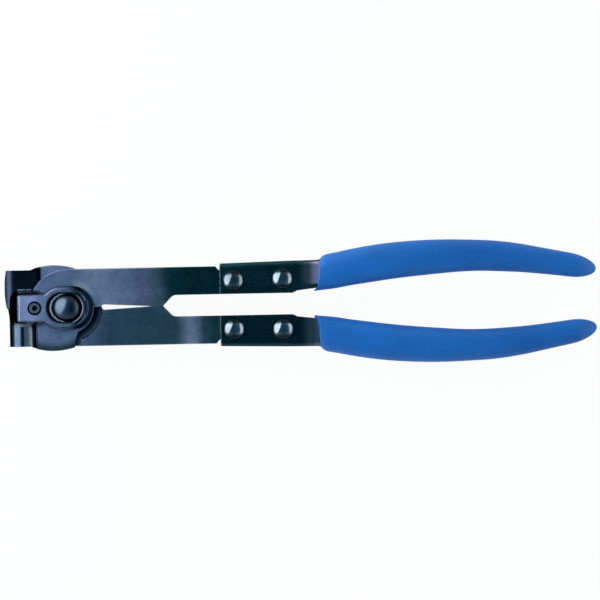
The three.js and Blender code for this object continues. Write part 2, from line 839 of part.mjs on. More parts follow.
function handleRivet([x, y]) {
  const headLow = middle + channelHalfHeight + seatGap;
  const tailTop = middle - channelHalfHeight - seatGap;
  const tail = rivetRadius + rivetTailLip;
  const profile = [
    [0, tailTop - rivetTailHeight],
    [tail - rivetTailHeight / 2, tailTop - rivetTailHeight],
    [tail, tailTop - rivetTailHeight / 2],
    [tail, tailTop],
    [rivetRadius, tailTop],
    [rivetRadius, headLow],
    ...domeProfile(rivetRadius + rivetHeadLip, headLow, rivetHeadHeight, rivetHeadRim, rivetDomeSteps),
  ];
  return turned(profile, smallSteps, x, y);
}

// Finishes
const blackenedSteel = new THREE.MeshStandardMaterial({ color: 0x1d2531, roughness: 0.38, metalness: 0.85 });
const paintedSteel = new THREE.MeshStandardMaterial({ color: 0x101a1e, roughness: 0.3, metalness: 0.6 });
const brightSteel = new THREE.MeshStandardMaterial({ color: 0x55606c, roughness: 0.25, metalness: 0.95 });
const bluePlastic = new THREE.MeshStandardMaterial({ color: 0x1f5fae, roughness: 0.5, metalness: 0 });

const pliers = new THREE.Group();
pliers.name = "ear_clamp_pliers";

function place(name, solid, material) {
  const mesh = new THREE.Mesh(geometryOf(solid), material);
  mesh.name = name;
  pliers.add(mesh);
}

place("front_arm", frontArm(), blackenedSteel);
place("rear_arm", rearArm(), blackenedSteel);
place("pivot_pin", pivotPin(), paintedSteel);
place("pivot_washer", pivotWasher(), brightSteel);
place("centre_bar", centreBar(), blackenedSteel);
place("set_screw", setScrew(), brightSteel);

// The two handles are alike, so the rear one is the front one mirrored across the centre line.
const sides = [
  { side: "front", mirrored: false },
  { side: "rear", mirrored: true },
];
for (const { side, mirrored } of sides) {
  const onSide = (solid) => (mirrored ? solid.mirror([0, 1, 0]) : solid);
  place(`${side}_handle_channel`, onSide(handleChannel()), paintedSteel);
  place(`${side}_grip`, onSide(handleGrip()), bluePlastic);
  rivetPlaces.forEach((at, i) => {
    place(`${side}_rivet_${i + 1}`, onSide(handleRivet(at)), paintedSteel);
  });
}

export default pliers;
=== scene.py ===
"""Looks of the ear clamp pliers: pieces, finishes, floor, light and camera round the frame. Metres."""
import json
import math

import bmesh
import bpy
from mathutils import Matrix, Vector
from mathutils.bvhtree import BVHTree


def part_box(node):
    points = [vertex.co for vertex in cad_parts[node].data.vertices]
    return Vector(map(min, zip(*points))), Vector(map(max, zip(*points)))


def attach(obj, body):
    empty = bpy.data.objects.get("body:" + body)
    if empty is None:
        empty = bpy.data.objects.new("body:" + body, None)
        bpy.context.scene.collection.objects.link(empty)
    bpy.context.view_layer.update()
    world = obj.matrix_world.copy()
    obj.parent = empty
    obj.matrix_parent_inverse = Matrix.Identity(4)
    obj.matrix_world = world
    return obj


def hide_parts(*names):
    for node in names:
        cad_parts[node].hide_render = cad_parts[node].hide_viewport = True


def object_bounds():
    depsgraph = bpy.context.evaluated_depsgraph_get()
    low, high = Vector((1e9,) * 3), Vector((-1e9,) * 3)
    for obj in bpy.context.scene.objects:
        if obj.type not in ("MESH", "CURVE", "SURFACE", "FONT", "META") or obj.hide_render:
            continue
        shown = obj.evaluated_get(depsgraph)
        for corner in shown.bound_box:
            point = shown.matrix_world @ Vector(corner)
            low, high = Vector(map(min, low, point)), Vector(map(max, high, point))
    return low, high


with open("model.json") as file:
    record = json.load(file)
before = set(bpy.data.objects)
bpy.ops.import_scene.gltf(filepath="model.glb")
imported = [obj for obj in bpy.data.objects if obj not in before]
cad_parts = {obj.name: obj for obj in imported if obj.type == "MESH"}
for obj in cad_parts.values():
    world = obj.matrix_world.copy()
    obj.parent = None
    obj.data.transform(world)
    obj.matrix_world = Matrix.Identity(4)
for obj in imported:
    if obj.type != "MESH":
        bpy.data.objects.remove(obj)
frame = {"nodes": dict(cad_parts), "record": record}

CAD_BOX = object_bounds()

# Meshes
WELD = 1e-6  # corners closer than this are one
RAY_STEP = WELD * 10  # past a wall, before the next one is looked for
RAY_FAR = 1  # from here rays reach the tool from outside
FLAT_ANGLE = math.radians(0.6)  # faces that differ by less are joined
CREASE_ANGLE = math.radians(32)  # edges sharper than this show as edges
STEEL_ROUND = 0.0002  # broken edges of the forged pieces
SHEET_ROUND = 0.00012  # broken edges of the pressed channels and the set screw
EDGE_SEGMENTS = 2
NORMAL_WEIGHT = 60  # how far large faces lead the shading
PARTING = 0.000155  # faces nearer the centre line than this meet there
PARTING_SHARE = 0.03  # of their distance is kept, so that no light shows through
PIVOT_ZONE = (-0.005, 0.012)  # along X, left as packed
TURNED_STEPS = 96
DOME_STEPS = 20
QUARTER_STEPS = 4

# Pivot pin and its washer
PIN_RADIUS = 0.004
DOME_RADIUS = 0.0067
DOME_HEIGHT = 0.0036
DOME_RIM = 0.0005
TAIL_HEIGHT = 0.002
TAIL_BEVEL = 0.0005
WASHER_BORE = 0.0057
WASHER_EDGE = 0.00015

# Rivets
RIVET_RADIUS = 0.003
RIVET_HEAD_HEIGHT = 0.0028
RIVET_HEAD_RIM = 0.0004
RIVET_TAIL_RADIUS = 0.0047
RIVET_TAIL_HEIGHT = 0.0015
RIVET_TAIL_BEVEL = 0.0007

# Grips
GRIP_STATIONS = 96
GRIP_STEPS = 48  # points round the grip
GRIP_SMOOTHING = 3  # times that the measured rows are eased
GRIP_CAP = 0.0125  # length of the rounded tip
GRIP_CAP_STEPS = 14
GRIP_CAP_LEAD = 7  # stations before the tip, over which its slopes are taken
GRIP_SQUARENESS = 2.6
ROOM_ROUNDS = (0.0027, 0.00065)  # corners of the room for the channel: outer side, inner side
MOUTH_SLANT = 0.00025  # how far the mouth leans, outer side back and inner side forward
MOUTH_LIP = 0.0023  # how far the coat creeps out along the inner side
MOUTH_LIP_SHARPNESS = 4.5
MOUTH_FADE = 0.0076  # along X, over which the lean dies out
MOUTH_ROUND = 0.0004
MOUTH_TURNS = (0, 30, 60, 90)  # degrees round the mouth's outer edge

# Picture: 600 pixels cover this much of the plane through the middle of the arms
VIEW_WIDTH = 0.291
VIEW_HEIGHT = 1.60  # of the lens above that plane
VIEW_CENTRE = (0.1126, 0.0016)
VIEW_TURN = math.radians(-1.1)
SENSOR = 36.0  # millimetres
CLIP_END = 100

# Studio
FLOOR_GAP = 0.0002
FLOOR_SIDE = 60.0
PAPER = (0.9, 0.9, 0.9, 1)
WHITE = (1, 1, 1, 1)
LIFT = 0.95  # share of plain white in the floor as the camera sees it
LAMPS = (  # name, place, size along X and Y, watts
    ("box_left", (-1.32, 0.5, 0.52), (2.5, 2.4), 43),
    ("box_right", (1.0, 0.05, 0.32), (1.06, 1.2), 4.6),
)
SKY = [  # height of the direction, colour
    (0.0, (1.0, 1.0, 1.0)),
    (0.4, (0.55, 0.6, 0.65)),
    (0.8, (0.08, 0.17, 0.24)),
    (0.97, (0.03, 0.13, 0.21)),
]

# Noises: scale, detail, roughness, seed. Where a pair stands before them, it is the span they waver across.
EVEN = (1, 1, 1)  # not stretched
NOISE_SPAN = (0.3, 0.7)  # most of a noise lies in it
DRIFT_NOISE = (60, 3, 0.5, 0)
DRIFT_STRETCH = (1, 1.6, 1)
BLUED_DRIFT = 0.003
BLUED_MOTTLE = [((0.86, 1.14), (420, 4, 0.6, 0)), ((-0.07, 0.07), (2600, 2, 0.5, 11))]
BLUED_UNEVENNESS = [((-0.04, 0.05), (900, 3, 0.6, 2)), ((-0.03, 0.04), (90, 2, 0.5, 5))]
BLUED_BRUSHED = (1500, 2, 0.6, 7)
BLUED_BRUSHED_STRETCH = (0.35, 1, 1)
BLUED_FORGED = (240, 2, 0.5, 8)
BLUED_FORGED_SHARE = 1.5
BLUED_BUMP = 0.08
BLACK_CLOUDS = (120, 3, 0.5, 0)
BLACK_CLOUD_SHARES = (0.75, 1.25)  # of the tint
BLACK_DULLNESS = (700, 3, 0.6, 3)
BLACK_MARKS = (1100, 2, 0.5, 4)
BLACK_BUMP = 0.06
WASHER_CLOUDS = (500, 3, 0.6, 0)
WASHER_DULLNESS = (900, 3, 0.6, 1)
VINYL_CLOUDS = (70, 3, 0.5, 0)
VINYL_CLOUD_STRETCH = (0.5, 1, 1)
VINYL_SPECKS = (900, 3, 0.6, 2)
VINYL_SPECK_SHARE = 0.35
VINYL_DULLNESS = (500, 3, 0.6, 6)
VINYL_PORES = (1400, 3, 0.6, 9)
VINYL_WAVES = (160, 2, 0.5, 12)
VINYL_WAVE_STRETCH = (0.6, 1, 1)
VINYL_WAVE_SHARE = 1.6
VINYL_BUMP = 0.12
BUMP_DISTANCE = 0.0002

# Finishes. Tints are rows of (place along X, colour) and glosses rows of (place along X, roughness).
# On the steel the tints hold painted highlight and shade besides the oxide's tone. Zones are boxes with a
# colour of their own, most of them painted shade or painted highlight: corner, corner, soft edge, rows of
# (place, colour) and, where the rows run outwards from an upright axis and not along X, that axis's X.
# None leaves a side open.
MIX_FIRST, MIX_SECOND, MIX_RESULT = 6, 7, 2  # a Mix node's sockets for colours
SATIN_SOFT = 0.004  # soft edge of the dull boxes on the pressed sheet's drawn-in necks
SATIN_EXTRA = 0.12  # roughness added there
GLANCING = (0.3, 0.3, 0.3, 1)  # how much the oxide skins shine at a glancing angle
# painted shade on the rims and sides of domed heads
PAINTED_RIM_SHADE = (0.012, 0.024, 0.032)
# painted shade: near black put where partings, gaps and pockets lie in shadow
PAINTED_SHADE_BLACK = (0.010, 0.030, 0.045)
# painted shade below the front plate's step, in the gap towards the rear arm
PAINTED_STEP_SHADE = (0.02, 0.03, 0.045)
ANYWHERE = (None, None, None)

# front arm along X: oxide tone with painted reflection, brighter near the head and dark towards the grip
FRONT_TINTS_AND_SHEEN = [
    (-0.020, (0.15, 0.20, 0.38)),
    (-0.002, (0.155, 0.22, 0.36)),
    (0.016, (0.27, 0.34, 0.48)),
    (0.026, (0.21, 0.28, 0.41)),
    (0.037, (0.15, 0.20, 0.32)),
    (0.0445, (0.10, 0.16, 0.22)),
    (0.052, (0.007, 0.047, 0.068)),
    (0.065, (0.006, 0.042, 0.056)),
    (0.080, (0.004, 0.035, 0.048)),
]
FRONT_GLOSSES = [(-0.030, 0.16), (-0.0222, 0.18), (-0.0206, 0.34), (0.080, 0.36)]
# painted highlight and shade in bands across the front jaw's nose
NOSE_SHEEN_ROWS = [
    (-0.030, (0.006, 0.012, 0.016)),
    (-0.0262, (0.01, 0.018, 0.025)),
    (-0.0256, (0.065, 0.09, 0.14)),
    (-0.0232, (0.065, 0.09, 0.14)),
    (-0.0227, (0.012, 0.035, 0.06)),
    (-0.0213, (0.012, 0.035, 0.06)),
    (-0.0206, (0.21, 0.27, 0.32)),
    (-0.0176, (0.16, 0.21, 0.24)),
    (-0.0169, (0.01, 0.02, 0.03)),
]
# painted light on the front plate, brightest next to the ring
RING_SIDE_LIGHT_ROWS = [
    (0.0116, (0.80, 0.85, 0.92)),
    (0.0130, (0.58, 0.67, 0.82)),
    (0.0155, (0.27, 0.34, 0.48)),
]
# painted shade on the front plate's outer rim, darker outwards
PLATE_RIM_SHADE_ROWS = [
    (0.0100, (0.20, 0.27, 0.44)),
    (0.0162, (0.20, 0.27, 0.44)),
    (0.0182, (0.13, 0.20, 0.29)),
    (0.0192, (0.06, 0.11, 0.15)),
    (0.0206, (0.03, 0.06, 0.075)),
]
FRONT_ZONES = [
    # nose of the jaw: painted bands of highlight and shade along X
    (ANYWHERE, (-0.0152, -0.0005, None), 0.0002, NOSE_SHEEN_ROWS),
    # flare of the ear pocket: painted highlight
    ((-0.0258, -0.0093, 0.0084), (-0.0180, -0.0060, 0.0100), 0.0004, [(0, (0.55, 0.64, 0.76))]),
    # top of the plate beside the ring: painted light, brightest at the ring
    ((0.004, 0.0004, 0.01015), (0.0170, 0.0130, None), 0.0040, RING_SIDE_LIGHT_ROWS, 0.0),
    # outer rim of the plate: painted shade, darker outwards
    ((-0.0158, None, 0.0060), (0.0170, -0.0095, None), 0.0020, PLATE_RIM_SHADE_ROWS, -0.0066),
    # below the plate's top, towards the rear arm's shoulder and blade: painted shade in the gap
    ((0.001, -0.021, None), (0.0150, -0.0002, 0.01012), 0.0001, [(0, PAINTED_STEP_SHADE)]),
    ((0.012, -0.0008, None), (0.0185, 0.0004, 0.01012), 0.0001, [(0, PAINTED_STEP_SHADE)]),
    # parting of the jaws: painted shade between them
    ((None, -0.0008, None), (-0.0130, 0.0008, 0.01012), 0.0001, [(0, PAINTED_SHADE_BLACK)]),
]

# rear arm along X: oxide tone with painted reflection, a pale band near 60 mm between dark stretches
REAR_TINTS_AND_SHEEN = [
    (-0.020, (0.24, 0.29, 0.46)),
    (0.004, (0.22, 0.27, 0.42)),
    (0.010, (0.12, 0.18, 0.28)),
    (0.017, (0.09, 0.14, 0.22)),
    (0.021, (0.055, 0.115, 0.175)),
    (0.052, (0.055, 0.12, 0.17)),
    (0.060, (0.34, 0.40, 0.55)),
    (0.0665, (0.06, 0.12, 0.17)),
    (0.071, (0.025, 0.08, 0.10)),
    (0.080, (0.02, 0.07, 0.09)),
]
REAR_GLOSSES = [(-0.031, 0.3), (-0.026, 0.24), (-0.016, 0.24), (-0.013, 0.34), (0.080, 0.36)]
REAR_DRIFT = 0.0012
# painted shade on the rear jaw's brow, lighter towards its front rim
BROW_SHADE_ROWS = [
    (-0.031, (0.03, 0.042, 0.072)),
    (-0.0262, (0.027, 0.038, 0.062)),
    (-0.0252, (0.006, 0.018, 0.03)),
    (-0.0120, (0.006, 0.018, 0.03)),
]
# painted shade on the rear arm's shoulder, black near the pivot
SHOULDER_SHADE_ROWS = [
    (0.0140, PAINTED_SHADE_BLACK),
    (0.0150, (0.06, 0.10, 0.15)),
    (0.0162, (0.10, 0.15, 0.21)),
]
REAR_ZONES = [
    # the jaw and its brow: painted shade, lighter at the rounded front rim
    ((None, 0.0002, None), (-0.0129, None, None), 0.0004, BROW_SHADE_ROWS),
    # shoulder round the front arm's heel: painted shade, black near the pivot and lighter outwards
    ((0.002, None, None), (0.0168, -0.0002, 0.0064), 0.0002, SHOULDER_SHADE_ROWS, 0.0),
    # parting of the jaws: painted shade between them
    ((None, -0.0008, None), (-0.0130, 0.0008, None), 0.0001, [(0, PAINTED_SHADE_BLACK)]),
    # flare of the ear pocket: painted highlight
    ((-0.0240, 0.0060, 0.0084), (-0.0174, 0.0093, None), 0.0005, [(0, (0.36, 0.43, 0.53))]),
]

# centre bar along X: painted shade on the rounded nose, painted light on the tongue, darker towards the
# ring
BAR_TINTS_AND_SHEEN = [
    (-0.0240, (0.05, 0.065, 0.08)),
    (-0.0232, (0.146, 0.18, 0.235)),
    (-0.0225, (0.30, 0.36, 0.57)),
    (-0.017, (0.35, 0.41, 0.70)),
    (-0.0125, (0.24, 0.30, 0.50)),
    (-0.008, (0.17, 0.22, 0.36)),
    (0.001, (0.16, 0.22, 0.34)),
    (0.007, (0.07, 0.11, 0.18)),
    (0.013, (0.05, 0.08, 0.14)),
]
BAR_GLOSSES = [(-0.024, 0.34), (0.013, 0.32)]
BAR_DRIFT = 0.0004
# painted shade on the sides of the tongue and ring
BAR_FLANK_SHADE_ROWS = [
    (-0.0226, (0.06, 0.08, 0.13)),
    (-0.011, (0.10, 0.13, 0.20)),
    (0.003, (0.06, 0.08, 0.13)),
]
# painted shade and a painted bright line round the ring's rear half
RING_SHEEN_ROWS = [
    (0.0050, (0.13, 0.18, 0.27)),
    (0.0060, (0.11, 0.15, 0.22)),
    (0.0066, (0.05, 0.08, 0.12)),
    (0.0071, (0.006, 0.015, 0.03)),
    (0.0078, (0.01, 0.02, 0.035)),
    (0.0083, (0.06, 0.10, 0.15)),
    (0.0087, (0.006, 0.015, 0.03)),
]
# painted highlight on the pivot pocket's lip
RING_LIP_HIGHLIGHT_ROWS = [
    (0.0071, (0.6, 0.68, 0.8)),
    (0.0079, (0.6, 0.68, 0.8)),
    (0.0080, (0.07, 0.11, 0.18)),
]
# painted shade inside the pivot's pocket
BAR_POCKET_SHADE = ((-0.0098, -0.0072, None), (0.0077, 0.0072, 0.0157), 0.0002, [(0, PAINTED_SHADE_BLACK)])
BAR_ZONES = [
    # sides of tongue and ring, just below the top: painted shade
    ((None, None, 0.0150), (None, None, 0.01662), 0.00006, BAR_FLANK_SHADE_ROWS),
    # rear half of the ring: painted shade with a painted bright line, outwards from its axis
    ((0.0030, None, None), ANYWHERE, 0.0040, RING_SHEEN_ROWS, 0.0022),
    # painted highlight on the lip of the pocket
    ((0.0030, -0.0082, 0.0161), (0.0090, 0.0060, 0.01665), 0.00006, RING_LIP_HIGHLIGHT_ROWS, 0.0004),
    BAR_POCKET_SHADE,
    # the set screw's hole: painted shade
    ((-0.0189, -0.0035, None), (-0.0119, 0.0035, 0.0163), 0.0001, [(0, (0.008, 0.014, 0.024))]),
]
# the bar's broken edges: painted shade that dims the highlights on them
BAR_EDGE_SHADE_TINTS = [
    (-0.024, (0.05, 0.065, 0.11)),
    (-0.0225, (0.04, 0.055, 0.10)),
    (0.001, (0.04, 0.06, 0.10)),
    (0.013, (0.02, 0.03, 0.06)),
]

CHANNEL_TINT = (0.02, 0.078, 0.095)
CHANNEL_ROUGH = (0.22, 0.32)
CHANNEL_DRAWN = 0.3
# painted reflection on the front channel's neck, rising to pale lilac at the grip
FRONT_NECK_SHEEN_ROWS = [
    (0.1120, CHANNEL_TINT),
    (0.1165, (0.10, 0.12, 0.15)),
    (0.1212, (0.60, 0.50, 0.72)),
]
# painted reflection on the rear channel's neck, lighter at the grip
REAR_NECK_SHEEN_ROWS = [
    (0.1120, (0.014, 0.055, 0.068)),
    (0.1185, (0.07, 0.12, 0.14)),
    (0.1212, (0.14, 0.18, 0.24)),
]
CHANNEL_ZONES = [
    # the whole rear channel: painted shade, a darker copy of the black
    (ANYWHERE, (None, -0.0010, None), 0.002, [(0, (0.014, 0.058, 0.072))]),
    # necks in front of the grips: painted reflection
    ((0.1115, 0.0095, None), (None, 0.0200, None), 0.0006, FRONT_NECK_SHEEN_ROWS),
    ((0.1115, None, None), (None, -0.0060, None), 0.0006, REAR_NECK_SHEEN_ROWS),
    # sheared front edges: bare steel's colour, there also as a painted highlight along the edge
    (ANYWHERE, (0.0743, None, None), 0.0002, [(0, (0.5, 0.56, 0.58))]),
]
CHANNEL_SATIN = [((0.1140, None, None), ANYWHERE)]

# The rim and side of a domed head take painted shade round its crown, each as the shares of the half width
# where the black starts and ends.
DOME_TINT = (0.085, 0.12, 0.17)
DOME_ROUGH = (0.22, 0.30)
# painted shade on the dome's right half
DOME_SHADE_ZONES = [((0.0012, None, 0.010), ANYWHERE, 0.0026, [(0, (0.03, 0.055, 0.07))])]
DOME_RIM_SHADE = ((0.76, 0.85), (0.46, 0.72))
RIVET_TINT = (0.19, 0.24, 0.28)
RIVET_ROUGH = (0.09, 0.14)
RIVET_RIM_SHADE = ((0.80, 0.95), (0.38, 0.62))
SCREW_TINT = (0.17, 0.21, 0.27)
SCREW_ROUGH = (0.26, 0.34)
# painted shade in the screw's socket and on it below its top
SCREW_SOCKET_SHADE = [(ANYWHERE, (None, None, 0.0160), 0.0001, [(0, (0.008, 0.014, 0.02))])]
WASHER_TINTS = ((0.44, 0.49, 0.56), (0.60, 0.65, 0.72))
WASHER_ROUGH = (0.3, 0.42)
VINYL_TINTS = [(0.45, (0.0032, 0.096, 0.355)), (0.9, (0.0055, 0.12, 0.42))]
VINYL_ROUGH = (0.42, 0.54)
VINYL_LIGHT_SPAN = (0.122, 0.190)  # along X, over which the painted light on the blue falls off
# painted light: the blue is brightest at the mouth end
VINYL_LIGHT_SHARES = (1.24, 1.08)
VINYL_SPECULAR = 0.35

BODY_OF = {node: body for body, nodes in frame["record"]["behaviour"]["bodies"].items() for node in nodes}


def add(tree, kind, inputs=None, **settings):
    """A shader node. Each input is a plain value or another node's output."""
    made = tree.nodes.new("ShaderNode" + kind)
    for key, value in settings.items():
        setattr(made, key, value)
    for key, value in (inputs or {}).items():
        if isinstance(value, bpy.types.NodeSocket):
            tree.links.new(value, made.inputs[key])
        else:
            made.inputs[key].default_value = value
    return made


def new_material(name):
    material = bpy.data.materials.new(name)
    material.use_nodes = True
    tree = material.node_tree
    return material, tree, tree.nodes["Principled BSDF"]


def placed(name, data):
    """A new object in the scene."""
    made = bpy.data.objects.new(name, data)
    bpy.context.scene.collection.objects.link(made)
    return made


def ramp(tree, factor, stops):
    """A colour ramp's colour output. stops is [(place, colour)]."""
    made = add(tree, "ValToRGB", {"Fac": factor})
    made.color_ramp.interpolation = "EASE"
    elements = made.color_ramp.elements
    while len(elements) < len(stops):
        elements.new(0.5)
    for element, (place, colour) in zip(elements, stops):
        element.position = place
        element.color = (*colour, 1)
    return made.outputs["Color"]


def place_of(tree, stretch=EVEN):
    """The piece's own coordinates, stretched."""
    coordinates = add(tree, "TexCoord")
    mapped = add(tree, "Mapping", {"Vector": coordinates.outputs["Object"], "Scale": stretch})
    return mapped.outputs["Vector"]


def noise(tree, pattern, stretch=EVEN):
    vector = place_of(tree, stretch)
    scale, detail, roughness, seed = pattern
    made = add(
        tree,
        "TexNoise",
        {"Vector": vector, "W": seed, "Scale": scale, "Detail": detail, "Roughness": roughness},
        noise_dimensions="4D",
    )
    return made.outputs["Fac"]


def spread(tree, value, low, high, to_low=0.0, to_high=1.0):
    made = add(
        tree,
        "MapRange",
        {"Value": value, "From Min": low, "From Max": high, "To Min": to_low, "To Max": to_high},
    )
    return made.outputs["Result"]


def wavering(tree, span, pattern, stretch=EVEN):
    """A noise that wavers across a span."""
    return spread(tree, noise(tree, pattern, stretch), *NOISE_SPAN, *span)


def sum_of(tree, first, second, operation="ADD"):
    return add(tree, "Math", {0: first, 1: second}, operation=operation).outputs["Value"]


def shaded(tree, colour, factor):
    """A colour times a plain factor."""
    made = add(tree, "VectorMath", {0: colour, "Scale": factor}, operation="SCALE")
    return made.outputs["Vector"]


def within(tree, low, high, soft):
    """1 inside a box given by two corners, easing to 0 across its soft faces. None leaves a side open."""
    axes = add(tree, "SeparateXYZ", {"Vector": place_of(tree)})
    steps = []
    for axis, least, most in zip("XYZ", low, high):
        for face, way in ((least, soft / 2), (most, -soft / 2)):
            if face is not None:
                steps.append(spread(tree, axes.outputs[axis], face - way, face + way))
    share = steps[0]
    for step in steps[1:]:
        share = sum_of(tree, share, step, "MULTIPLY")
    return share


def mixed(tree, factor, first, second):
    made = add(tree, "Mix", {0: factor, MIX_FIRST: first, MIX_SECOND: second}, data_type="RGBA")
    return made.outputs[MIX_RESULT]


def along_tool(tree, low, high, drift=0.0):
    """Share of the way along X from low to high, its bands made uneven by drift."""
    axes = add(tree, "SeparateXYZ", {"Vector": place_of(tree)})
    place = axes.outputs["X"]
    if drift:
        place = sum_of(tree, place, wavering(tree, (-drift, drift), DRIFT_NOISE, DRIFT_STRETCH))
    return spread(tree, place, low, high)


def from_axis(tree, low, high, x):
    """Share of the way from low to high outwards from an upright axis at x on the centre line."""
    flat = add(tree, "VectorMath", {0: place_of(tree, (1, 1, 0)), 1: (x, 0, 0)}, operation="DISTANCE")
    return spread(tree, flat.outputs["Value"], low, high)


def crown(tree, rim, side):
    """1 on a head's crown, 0 at its rim and towards its sides along Y."""
    corner = add(tree, "TexCoord").outputs["Generated"]
    centred = add(tree, "VectorMath", {0: corner, 1: (0.5, 0.5, 0)}, operation="SUBTRACT")
    flat = add(tree, "VectorMath", {0: centred.outputs["Vector"], 1: (2, 2, 0)}, operation="MULTIPLY")
    out = add(tree, "VectorMath", {0: flat.outputs["Vector"]}, operation="LENGTH")
    axes = add(tree, "SeparateXYZ", {"Vector": flat.outputs["Vector"]})
    round_share = spread(tree, out.outputs["Value"], *rim, 1, 0)
    side_share = spread(tree, sum_of(tree, axes.outputs["Y"], 0, "ABSOLUTE"), *side, 1, 0)
    return sum_of(tree, round_share, side_share, "MULTIPLY")


def banded(tree, rows, drift=0.0, axis=None):
    """A colour that changes along X, or outwards from an upright axis, by rows of (place, colour)."""
    if len(rows) == 1:
        return (*rows[0][1], 1)
    low, high = rows[0][0], rows[-1][0]
    share = along_tool(tree, low, high, drift) if axis is None else from_axis(tree, low, high, axis)
    return ramp(tree, share, [((place - low) / (high - low), colour) for place, colour in rows])


def zoned(tree, tint, zones):
    """A tint with other colours in boxes."""
    for low, high, soft, rows, *axis in zones:
        own = banded(tree, rows, axis=axis[0] if axis else None)
        tint = mixed(tree, within(tree, low, high, soft), tint, own)
    return tint


def roughened(tree, skin, strength, height):
    """Fine unevenness of the surface."""
    bump = add(tree, "Bump", {"Strength": strength, "Distance": BUMP_DISTANCE, "Height": height})
    tree.links.new(bump.outputs["Normal"], skin.inputs["Normal"])


def blued_steel(name, tints, glosses, zones, drift=BLUED_DRIFT):
    """Forged steel with a dark blue oxide skin: cloudy, satin, faintly brushed. Its tints and zones also
    hold painted highlight and shade.
    """
    material, tree, skin = new_material(name)
    tint = zoned(tree, banded(tree, tints, drift), zones)
    mottle = sum_of(tree, *(wavering(tree, *row) for row in BLUED_MOTTLE))
    tree.links.new(shaded(tree, tint, mottle), skin.inputs["Base Color"])
    gloss = banded(tree, [(place, (value, value, value)) for place, value in glosses])
    unevenness = sum_of(tree, *(wavering(tree, *row) for row in BLUED_UNEVENNESS))
    tree.links.new(sum_of(tree, gloss, unevenness), skin.inputs["Roughness"])
    brushed = noise(tree, BLUED_BRUSHED, BLUED_BRUSHED_STRETCH)
    forged = sum_of(tree, noise(tree, BLUED_FORGED), BLUED_FORGED_SHARE, "MULTIPLY")
    roughened(tree, skin, BLUED_BUMP, sum_of(tree, brushed, forged))
    skin.inputs["Specular Tint"].default_value = GLANCING
    skin.inputs["Metallic"].default_value = 1.0
    return material


def black_steel(name, base, rough, drawn=1.0, zones=(), satin=(), rim_shade=None):
    """Blackened steel with a thin glossy skin. drawn stretches its fine marks along X.

    satin lists boxes, as corners, where the skin is dull. The last argument gives the rim and side of a
    head that are painted black as shade round its crown. zones hold mostly painted shade and highlight.
    """
    material, tree, skin = new_material(name)
    stretch = (drawn, 1, 1)
    stops = [(place, [share * c for c in base]) for place, share in zip(NOISE_SPAN, BLACK_CLOUD_SHARES)]
    tint = ramp(tree, noise(tree, BLACK_CLOUDS, stretch), stops)
    # painted shade: black over the head's rim and sides, round its crown
    if rim_shade:
        tint = mixed(tree, crown(tree, *rim_shade), (*PAINTED_RIM_SHADE, 1), tint)
    tree.links.new(zoned(tree, tint, zones), skin.inputs["Base Color"])
    dullness = wavering(tree, rough, BLACK_DULLNESS, stretch)
    for low, high in satin:
        extra = sum_of(tree, within(tree, low, high, SATIN_SOFT), SATIN_EXTRA, "MULTIPLY")
        dullness = sum_of(tree, dullness, extra)
    tree.links.new(dullness, skin.inputs["Roughness"])
    roughened(tree, skin, BLACK_BUMP, noise(tree, BLACK_MARKS, stretch))
    skin.inputs["Specular Tint"].default_value = GLANCING
    skin.inputs["Metallic"].default_value = 1.0
    return material


def bright_steel(name):
    material, tree, skin = new_material(name)
    tint = ramp(tree, noise(tree, WASHER_CLOUDS), list(zip(NOISE_SPAN, WASHER_TINTS)))
    tree.links.new(tint, skin.inputs["Base Color"])
    rough = wavering(tree, WASHER_ROUGH, WASHER_DULLNESS)
    tree.links.new(rough, skin.inputs["Roughness"])
    skin.inputs["Metallic"].default_value = 1.0
    return material


def blue_vinyl(name):
    """Dipped vinyl: blue with soft mottling, painted light that fades along X, and a fine satin skin."""
    material, tree, skin = new_material(name)
    clouds = noise(tree, VINYL_CLOUDS, VINYL_CLOUD_STRETCH)
    specks = sum_of(tree, noise(tree, VINYL_SPECKS), VINYL_SPECK_SHARE, "MULTIPLY")
    tint = ramp(tree, sum_of(tree, clouds, specks), VINYL_TINTS)
    # painted light along X, brighter near the mouth
    axes = add(tree, "SeparateXYZ", {"Vector": place_of(tree)})
    share = spread(tree, axes.outputs["X"], *VINYL_LIGHT_SPAN, *VINYL_LIGHT_SHARES)
    tree.links.new(shaded(tree, tint, share), skin.inputs["Base Color"])
    rough = wavering(tree, VINYL_ROUGH, VINYL_DULLNESS)
    tree.links.new(rough, skin.inputs["Roughness"])
    pores = noise(tree, VINYL_PORES)
    waves = noise(tree, VINYL_WAVES, VINYL_WAVE_STRETCH)
    waves = sum_of(tree, waves, VINYL_WAVE_SHARE, "MULTIPLY")
    roughened(tree, skin, VINYL_BUMP, sum_of(tree, pores, waves))
    skin.inputs["Specular IOR Level"].default_value = VINYL_SPECULAR
    return material


def shell_of(node):
    """A CAD node's surface, welded, its flat faces joined. Arms that meet at the centre line close up."""
    shell = bmesh.new()
    shell.from_mesh(frame["nodes"][node].data)
    if node.endswith("_arm"):
        for vert in shell.verts:
            if abs(vert.co.y) <= PARTING and not PIVOT_ZONE[0] <= vert.co.x <= PIVOT_ZONE[1]:
                vert.co.y *= PARTING_SHARE
    bmesh.ops.remove_doubles(shell, verts=shell.verts, dist=WELD)
    bmesh.ops.dissolve_limit(shell, angle_limit=FLAT_ANGLE, verts=shell.verts, edges=shell.edges)
    return shell


def piece_from(shell, name, node, material):
    """A new piece from a bmesh, standing for a CAD node and riding on its body."""
    bmesh.ops.recalc_face_normals(shell, faces=shell.faces)
    mesh = bpy.data.meshes.new(name)
    shell.to_mesh(mesh)
    shell.free()
    piece = placed(name, mesh)
    mesh.materials.append(material)
    mesh.shade_smooth()
    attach(piece, BODY_OF[node])
    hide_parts(node)
    return piece


